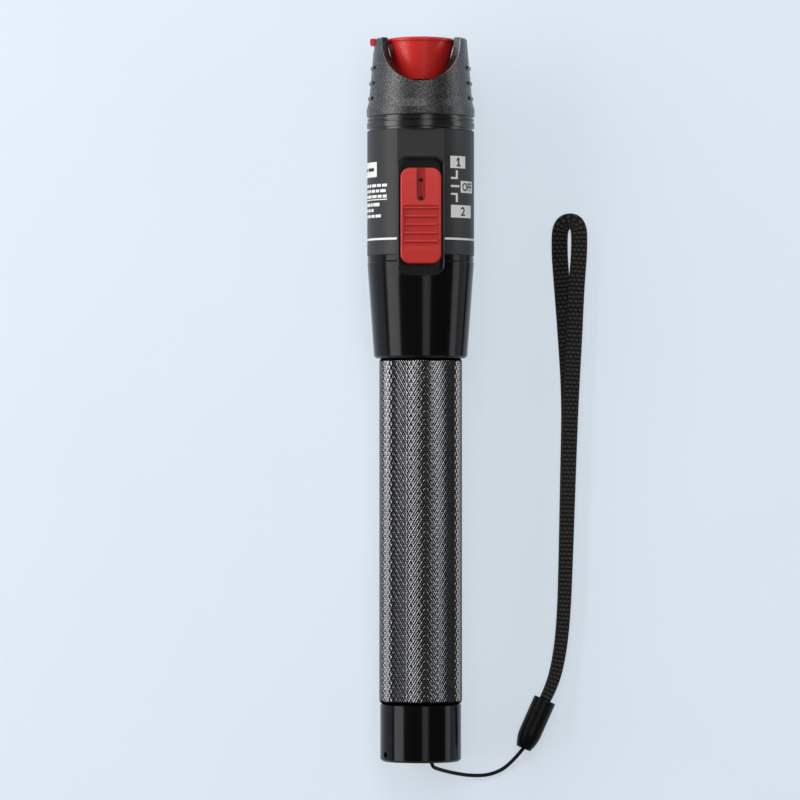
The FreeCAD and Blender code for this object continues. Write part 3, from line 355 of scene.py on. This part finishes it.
def tape_section():
    """A flat band with softly rounded edges, listed round its outline."""
    edge = TAPE_THICKNESS * TAPE_EDGE
    side, rise = TAPE_WIDTH / 2 - edge, TAPE_THICKNESS / 2

    def corner(x, start):
        turns = [math.radians(start + 90 * i / EDGE_STEPS) for i in range(EDGE_STEPS + 1)]
        return [(x + edge * math.cos(turn), rise - edge + edge * math.sin(turn)) for turn in turns]

    top = [(side * (1 - 2 * i / TAPE_STEPS), rise) for i in range(1, TAPE_STEPS)]
    half = corner(side, 0) + top + corner(-side, 90)
    return half + [(-x, -y) for x, y in half]


def string_section():
    turns = [2 * math.pi * i / STRING_SIDES for i in range(STRING_SIDES)]
    return [(STRING_WIDTH / 2 * math.cos(turn), STRING_WIDTH / 2 * math.sin(turn))
            for turn in turns]


def webbing():
    """Flat woven tape: rows of plaited ribs across the band, painted darker down between them as
    shade, with a sheen on the threads.
    """
    g = Graph("strap_weave")
    u, v = g.unrolled(ROW_PITCH, RIB_PITCH)
    shifted = g.plus(v, g.times(g.math("MODULO", g.math("FLOOR", u), 2.0), 0.5))

    def fall(count, power, share):
        """How far a rib drops away from its middle, reaching share at its edge."""
        offset = g.minus(g.math("FRACT", count), 0.5)
        return g.times(g.math("POWER", g.math("ABSOLUTE", g.times(offset, 2.0)), power), share)

    bulge = g.minus(1.0, g.plus(fall(shifted, 2.6, 0.75), fall(u, 2.2, 0.9)), clamp=True)
    threads = g.math("SINE", g.times(g.plus(v, g.times(u, 0.35)), 31.0))
    fuzz = g.noise(6.0, 3.0)
    height = g.plus(bulge, g.plus(g.times(threads, 0.06), g.times(fuzz, 0.12)))
    # Painted shade: the tape is near black down between the ribs.
    tint = g.mix(bulge, (0.0008, 0.0008, 0.0009), (0.05, 0.048, 0.045))
    return g.finish(tint, g.ramp(fuzz, 0.5, 0.7), g.bump(height, 0.45), specular=0.2,
                    Sheen_Weight=0.06, Sheen_Roughness=0.4)


def braid():
    """Round braided cord: two crossing spirals of yarn, painted darker in the grooves between them
    as shade.
    """
    g = Graph("string_braid")
    u, v = g.unrolled(YARN_ALONG, YARN_ROUND)
    one, two = (g.math("SINE", g.times(way(u, v), 2 * math.pi)) for way in (g.plus, g.minus))
    height = g.math("MAXIMUM", one, two)
    # Painted shade: the yarn is darker down in the grooves.
    tint = g.mix(g.over(height, -1.0, 1.0), (0.001, 0.001, 0.001), (0.006, 0.006, 0.0065))
    return g.finish(tint, 0.5, g.bump(height, 0.05), specular=0.2, Sheen_Weight=0.03)


string_line = smooth_line("string_route", STRING_ROUTE)
string_points = points_on(string_line, 0.25 * MM)
string = tube_along("wrist_string", string_points, string_section(), braid())
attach(string, "tail")
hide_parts("lanyard_string")

strap_line = smooth_line("strap_route", STRAP_ROUTE)
strap_points = points_on(strap_line, 0.3 * MM)
strap_length = distances(strap_points)[-1]


def gathered(at):
    """The tape is drawn together where it enters the bead."""
    near = min(at, strap_length - at) / MM
    return 0.74 + 0.31 * min(1.0, near / 90.0) ** 0.7


strap = tube_along("wrist_strap", strap_points, tape_section(), webbing(), flat=True,
                   breadth=gathered)
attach(strap, "tail")
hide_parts("lanyard_strap")

for line in (string_line, strap_line):
    bpy.data.objects.remove(line)

# ---------------------------------------------------------------- knurled tube

KNURL_COLUMNS, KNURL_RISE, KNURL_DEPTH = 208, 0.515, 0.163
KNURL_SKIN, KNURL_LOW, KNURL_HIGH = 9.95, 14.15, 96.55
TUBE_FOOT, SOCKET_END, TUBE_HEAD, SPIGOT_END = 13.9, 22.1, 96.8, 104.8
BORE, SOCKET, SPIGOT, TUBE_RIM, SPIGOT_CHAMFER = 7.5, 8.5, 9.1, 9.55, 0.35


def knurled_tube():
    """The battery tube again, its skin cut into small pyramids by two crossing sets of grooves."""
    valley = KNURL_SKIN - KNURL_DEPTH
    rows = round((KNURL_HIGH - KNURL_LOW) / KNURL_RISE)
    before = [(SOCKET, SOCKET_END), (SOCKET, TUBE_FOOT), (TUBE_RIM, TUBE_FOOT),
              (valley, KNURL_LOW)]
    after = [(valley, KNURL_HIGH), (TUBE_RIM, TUBE_HEAD), (SPIGOT, TUBE_HEAD),
             (SPIGOT, SPIGOT_END - SPIGOT_CHAMFER), (SPIGOT - SPIGOT_CHAMFER, SPIGOT_END),
             (BORE, SPIGOT_END), (BORE, SOCKET_END), (SOCKET, SOCKET_END)]
    rings = [[place] * KNURL_COLUMNS for place in before]
    for j in range(1, rows):
        z = KNURL_LOW + (KNURL_HIGH - KNURL_LOW) * j / rows
        ring = []
        for i in range(KNURL_COLUMNS):
            if (i + j) % 2:
                radius = KNURL_SKIN
            else:
                grooves = (i + j) // 2 % 2 + (i - j) // 2 % 2
                radius = KNURL_SKIN - KNURL_DEPTH * (0.62 + 0.19 * grooves)
            ring.append((radius, z))
        rings.append(ring)
    rings += [[place] * KNURL_COLUMNS for place in after]
    verts = [on_pen(radius, 2 * math.pi * i / KNURL_COLUMNS, z)
             for ring in rings for i, (radius, z) in enumerate(ring)]
    faces = []
    for j in range(len(rings) - 1):
        row = j + 1 - len(before)
        for i in range(KNURL_COLUMNS):
            k = (i + 1) % KNURL_COLUMNS
            a, b = j * KNURL_COLUMNS + i, j * KNURL_COLUMNS + k
            c, d = b + KNURL_COLUMNS, a + KNURL_COLUMNS
            if not 0 <= row < rows:
                faces.append((a, b, c, d))
            elif (i + row) % 2:
                faces += [(a, b, c), (a, c, d)]
            else:
                faces += [(a, b, d), (b, c, d)]
    return added("knurled_tube", new_mesh("knurled_tube", verts, faces, anodised()))


def anodised():
    """Black anodised aluminium, paler on the crests from wear and a painted glint, with painted
    shade in the grooves.
    """
    g = Graph("tube_anodised")
    wear = g.noise(0.6, 4.0)
    # Crests are paler partly from wear and partly as a painted glint; the grooves are painted near
    # black as shade.
    crest = g.over(g.radius(), KNURL_SKIN - 0.065, KNURL_SKIN - 0.02)
    wear_and_highlight = g.times(crest, g.ramp(wear, 0.7, 1.2))
    tint = g.mix(wear_and_highlight, (0.004, 0.004, 0.0042), (0.3, 0.3, 0.305))
    return g.finish(tint, g.ramp(wear, 0.09, 0.16), g.bump(g.noise(7.0, 2.0), 0.006), 0.97, 0.2,
                    Specular_Tint=(0.25, 0.25, 0.26, 1.0))


tube = knurled_tube()
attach(tube, "pen")
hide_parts("battery_tube")

# ---------------------------------------------------------------- print on the label

LABEL_RADIUS = 12.87
WHITE, BLACK = 0, 1
LIFT = {WHITE: 0.03, BLACK: 0.06}  # how far each ink lies above the label's skin
BLOCK_STEP = 2.0  # the most degrees that one flat face of a block spans


class Print:
    """Ink on the label, in one mesh.

    Its places are degrees to the right of the slider, and stations along the pen.
    """

    def __init__(self):
        self.verts, self.faces, self.inks = [], [], []

    def add(self, places, faces, ink):
        start = len(self.verts)
        self.verts += [on_pen(LABEL_RADIUS + LIFT[ink], math.radians(turn), station)
                       for turn, station in places]
        self.faces += [tuple(start + i for i in face) for face in faces]
        self.inks += [ink] * len(faces)

    def block(self, left, right, low, high, ink=WHITE):
        steps = max(1, math.ceil(abs(right - left) / BLOCK_STEP))
        turns = [left + (right - left) * i / steps for i in range(steps + 1)]
        self.add([(turn, station) for turn in turns for station in (low, high)],
                 [(2 * i, 2 * i + 2, 2 * i + 3, 2 * i + 1) for i in range(steps)], ink)

    def sign(self, text, left, right, low, high):
        """Black characters that fill the given space."""
        data = bpy.data.curves.new("sign", "FONT")
        data.body = text
        data.offset = 0.024
        line = added("sign", data)
        bpy.context.view_layer.update()
        mesh = bpy.data.meshes.new_from_object(line)
        xs = [vertex.co.x for vertex in mesh.vertices]
        ys = [vertex.co.y for vertex in mesh.vertices]
        across = (right - left) / (max(xs) - min(xs))
        tall = (high - low) / (max(ys) - min(ys))
        self.add([(left + (x - min(xs)) * across, low + (y - min(ys)) * tall)
                  for x, y in zip(xs, ys)],
                 [tuple(polygon.vertices) for polygon in mesh.polygons], BLACK)
        bpy.data.objects.remove(line)
        bpy.data.meshes.remove(mesh)

    def made(self, name, *materials):
        mesh = new_mesh(name, self.verts, self.faces, *materials)
        mesh.polygons.foreach_set("material_index", self.inks)
        return added(name, mesh)


def ink(name, colour):
    """Screen-printed ink, a little uneven where it thins."""
    g = Graph(name)
    thin = g.noise(5.0, 3.0)
    tint = g.mix(thin, tuple(channel * 0.84 for channel in colour), colour)
    return g.finish(tint, g.ramp(thin, 0.45, 0.6), g.bump(thin, 0.01), specular=0.3)


marks = Print()
# a stripe round the label, open at the slider's recess
marks.block(26.4, 333.6, 124.98, 125.48)
# three switch positions joined by brackets, to the right of the slider
marks.block(33.0, 55.5, 142.1, 145.0)
marks.block(43.3, 45.5, 142.5, 144.65, BLACK)
marks.block(41.4, 47.4, 142.5, 142.85, BLACK)
marks.add([(41.3, 143.6), (43.3, 144.1), (43.3, 144.65), (41.3, 144.1)], [(0, 1, 2, 3)], BLACK)
marks.block(40.4, 43.2, 139.5, 141.6)
marks.block(33.8, 40.4, 139.5, 139.95)
marks.block(33.8, 45.5, 137.55, 138.05)
marks.block(47.6, 72.0, 136.3, 139.1)
marks.sign("OFF", 50.2, 69.6, 136.7, 138.7)
marks.block(33.8, 40.4, 135.7, 136.15)
marks.block(40.4, 43.2, 134.0, 136.15)
marks.block(33.8, 68.5, 130.3, 133.3)
marks.sign("2", 47.6, 55.0, 130.75, 132.85)
# a plain panel with two dashes and a thin rule, to the left
marks.block(-104.0, -54.8, 140.1, 143.7)
marks.block(-99.0, -80.0, 141.5, 142.3, BLACK)
marks.block(-76.0, -60.0, 141.5, 142.3, BLACK)
marks.block(-104.0, -38.9, 134.55, 134.8)
# rows of plain dashes under them: their lowest and highest station, and their right end
DASH_ROWS = [(137.7, 138.4, -38.9), (136.4, 137.1, -40.6), (135.1, 135.8, -39.2),
             (133.1, 133.9, -50.0), (131.8, 132.5, -61.0), (130.4, 131.1, -47.8)]
DASH_LIMIT, DASH_GAP, DASH_SHORTEST, DASH_LONGEST = -98.0, 1.7, 5.0, 12.0
spread = random.Random(7)
for low, high, turn in DASH_ROWS:
    while turn > DASH_LIMIT:
        start = turn - spread.uniform(DASH_SHORTEST, DASH_LONGEST)
        marks.block(start, turn, low, high)
        turn = start - DASH_GAP

label_print = marks.made("label_print", ink("ink_white", (0.88, 0.88, 0.87)),
                         ink("ink_black", (0.012, 0.012, 0.012)))
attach(label_print, "pen")

# ---------------------------------------------------------------- the pen's surfaces

FLARE_TOP, NOSE_TOP, FLARE_RADIUS, NOSE_TIP_RADIUS = 158.65, 173.75, 12.42, 11.15


def nose_skin():
    """Coarse-grained moulding whose window walls are smooth, painted dark as shade, with a painted
    pale highlight along their edges.
    """
    g = Graph("nose_grain")
    grain = g.noise(2.1, 3.0, rough=0.6)
    _, _, station = g.pen_place()
    skin = g.ramp(station, FLARE_RADIUS, NOSE_TIP_RADIUS, FLARE_TOP, NOSE_TOP)
    below = g.minus(skin, g.radius())
    # Painted highlight: a pale band along the window edges. Painted shade: the window walls below
    # it are near black.
    edge = g.times(g.over(below, 0.06, 0.1), g.under(below, 0.3, 0.36))
    pits = g.mix(g.over(grain, 0.47, 0.62), (0.003, 0.003, 0.0033), (0.05, 0.05, 0.052))
    walls = g.mix(g.over(below, 0.36, 0.5), pits, (0.003, 0.003, 0.0032))
    tint = g.mix(edge, walls, (0.2, 0.2, 0.205))
    return g.finish(tint, g.ramp(grain, 0.36, 0.16, 0.42, 0.62), g.bump(grain, 0.12),
                    specular=0.6)


def slider_skin():
    """Red moulding, with painted shade down in the thumb slot and between the ribs, and painted
    near black in the slot's dimples.
    """
    g = Graph("slider_red")
    x, back, station = g.pen_place()
    front = g.times(back, -1.0)
    slot = g.times(g.under(g.math("ABSOLUTE", x), 0.95, 1.1), g.over(station, 133.9, 134.3))
    ribs = g.times(g.under(station, 132.9, 133.1), g.over(station, 123.3, 123.6))
    # Painted shade: darker red in the slot and between the ribs, near black in the dimples.
    shade = g.times(g.under(front, 11.95, 12.65), g.plus(slot, ribs, clamp=True))
    dimples = g.times(slot, g.under(front, 11.6, 11.78))
    bright = g.mix(g.noise(0.25, 3.0), (0.52, 0.026, 0.021), (0.58, 0.031, 0.025))
    tint = g.mix(dimples, g.mix(shade, bright, (0.33, 0.007, 0.006)), (0.012, 0.001, 0.001))
    grain = g.noise(3.2, 2.0, rough=0.6)
    return g.finish(tint, g.ramp(grain, 0.3, 0.42), g.bump(grain, 0.012), specular=0.3)


def tray_skin():
    """Glossy black tray with a painted pale highlight along its rim, uneven in strength."""
    g = Graph("tray_black")
    x, back, _ = g.pen_place()
    rim = g.times(g.over(g.times(back, -1.0), 11.5, 11.6),
                  g.over(g.math("ABSOLUTE", x), 5.28, 5.42))
    wear = g.noise(1.5, 3.0)
    # Painted highlight: a pale line along the rim, its strength varied by noise.
    wear_and_highlight = g.times(rim, g.ramp(wear, 0.5, 1.0))
    tint = g.mix(wear_and_highlight, (0.002, 0.002, 0.0022), (0.09, 0.1, 0.115))
    return g.finish(tint, g.ramp(wear, 0.14, 0.26), g.bump(wear, 0.006), specular=0.4)


def port_skin():
    """Nickel round the fibre's way in, painted dark as shade over the flange."""
    g = Graph("port_nickel")
    plated = g.mix(g.noise(0.8, 3.0), (0.42, 0.42, 0.41), (0.56, 0.56, 0.55))
    # Painted shade: the flange outside the fibre's way in is near black.
    tint = g.mix(g.over(g.radius(), 3.1, 3.3), plated, (0.012, 0.012, 0.0125))
    rings = g.noise(8.0, 2.0)
    return g.finish(tint, g.ramp(rings, 0.22, 0.34), g.bump(rings, 0.002), 1.0)


def lens_glass():
    """Coated glass, faintly uneven."""
    g = Graph("lens_glass")
    haze = g.noise(1.2, 2.0)
    tint = g.mix(haze, (0.9, 0.94, 0.97), (0.97, 0.96, 0.93))
    return g.finish(tint, g.ramp(haze, 0.015, 0.05), Transmission_Weight=0.9)


paint(machined("gloss_black", (0.003, 0.003, 0.0033), 0.15, 0.0, 0.15), "tail_cap", "collar")
paint(machined("ring_black", (0.008, 0.008, 0.0085), 0.24, 0.0, 0.5), "neck_ring")
paint(moulded("label_film", (0.028, 0.0285, 0.03), 0.42, 0.006, 5.0, specular=0.22),
      "switch_housing")
paint(nose_skin(), "nose_guard")
paint(slider_skin(), "slider_button")
paint(moulded("cap_red", (0.6, 0.024, 0.02), 0.3, 0.045, 2.6, 0.06, 0.35), "dust_cap")
paint(tray_skin(), "slider_track")
paint(moulded("moulded_black", (0.008, 0.008, 0.0085), 0.4, 0.005),
      "switch_stem", "contact_carrier", "driver_chip", "drive_coil")
paint(moulded("bead_black", (0.004, 0.004, 0.0044), 0.36, 0.012, 2.0, specular=0.15),
      "lanyard_bead")
paint(machined("nickel", (0.5, 0.5, 0.49), 0.26, 1.0),
      "hinge_pin", "port_nut", "slide_switch", "tail_spring")
paint(port_skin(), "connector_port")
paint(machined("brass", (0.66, 0.46, 0.19), 0.3, 1.0),
      "aperture_ring", "lens_ring", "laser_holder", "laser_diode", "front_contact")
paint(moulded("ceramic", (0.8, 0.79, 0.75), 0.2, wander=0.02), "ceramic_sleeve")
paint(moulded("board_green", (0.01, 0.09, 0.035), 0.4), "circuit_board")
paint(machined("cell_jacket", (0.2, 0.2, 0.22), 0.35, 1.0), "battery_rear", "battery_front")
paint(moulded("seal_rubber", (0.012, 0.012, 0.012), 0.6), "tail_seal")
paint(lens_glass(), "focusing_lens")

# ---------------------------------------------------------------- floor and lamps

FLOOR_HALF, FLOOR_DROP, FLOOR_GLOW = 3, 0.00002, 0.61


def floor_skin():
    """Pale to the eye and in reflections, and dim where it lights the pen from below."""
    g = Graph("floor_pale")
    drift = g.noise(0.02, 2.0)
    pale = g.mix(drift, (0.27, 0.3, 0.335), (0.285, 0.32, 0.355))
    path = g.node("ShaderNodeLightPath").outputs
    reflected = g.math("MAXIMUM", path["Is Glossy Ray"], path["Is Transmission Ray"])
    seen = g.math("MAXIMUM", path["Is Camera Ray"], reflected)
    g.put(g.shader.inputs["Emission Color"],
          g.mix(drift, (0.8, 0.89, 0.98), (0.82, 0.91, 1.0)))
    g.put(g.shader.inputs["Emission Strength"], g.times(seen, FLOOR_GLOW))
    return g.finish(g.mix(seen, (0.1, 0.105, 0.11), pale), 0.9, specular=0.1)


corners = [(x * FLOOR_HALF, y * FLOOR_HALF, 0) for x, y in ((-1, -1), (1, -1), (1, 1), (-1, 1))]
floor = added("floor", new_mesh("floor", corners, [(0, 1, 2, 3)], floor_skin()))
floor.location.z = -FLOOR_DROP


def lamp(name, place, turn, width, length, radiance):
    """A softbox at place. Unturned, it faces down with its length along the pen."""
    data = bpy.data.lights.new(name, "AREA")
    data.shape = "RECTANGLE"
    data.size, data.size_y = width, length
    data.energy = radiance * math.pi * width * length
    made = added(name, data)
    made.location, made.rotation_euler = place, turn


def strip(name, angle, distance, width, radiance, shift):
    """A long softbox beside the pen, angle degrees to the right of overhead."""
    turn = math.radians(angle)
    across, height = distance * math.sin(turn), distance * math.cos(turn) + 0.013
    lamp(name, (across, shift, height), (0, turn, 0), width, 1.1, radiance)


strip("left_box", angle=-65.5, distance=0.6, width=0.32, radiance=5.0, shift=0.34)
strip("right_box", angle=84.0, distance=0.6, width=0.19, radiance=2.8, shift=0.34)
strip("top_box", angle=13.0, distance=0.95, width=0.27, radiance=2.4, shift=0.3)
lamp("nose_box", place=(-0.12, 0.68, 0.95), turn=(math.radians(-34.0), 0, 0), width=0.55,
     length=0.4, radiance=4.6)

world = bpy.data.worlds.new("studio")
bpy.context.scene.world = world
world.use_nodes = True
sky = world.node_tree.nodes["Background"].inputs
sky["Color"].default_value = (0.92, 0.96, 1.0, 1.0)
sky["Strength"].default_value = 0.11
bpy.context.scene.view_settings.view_transform = "Standard"
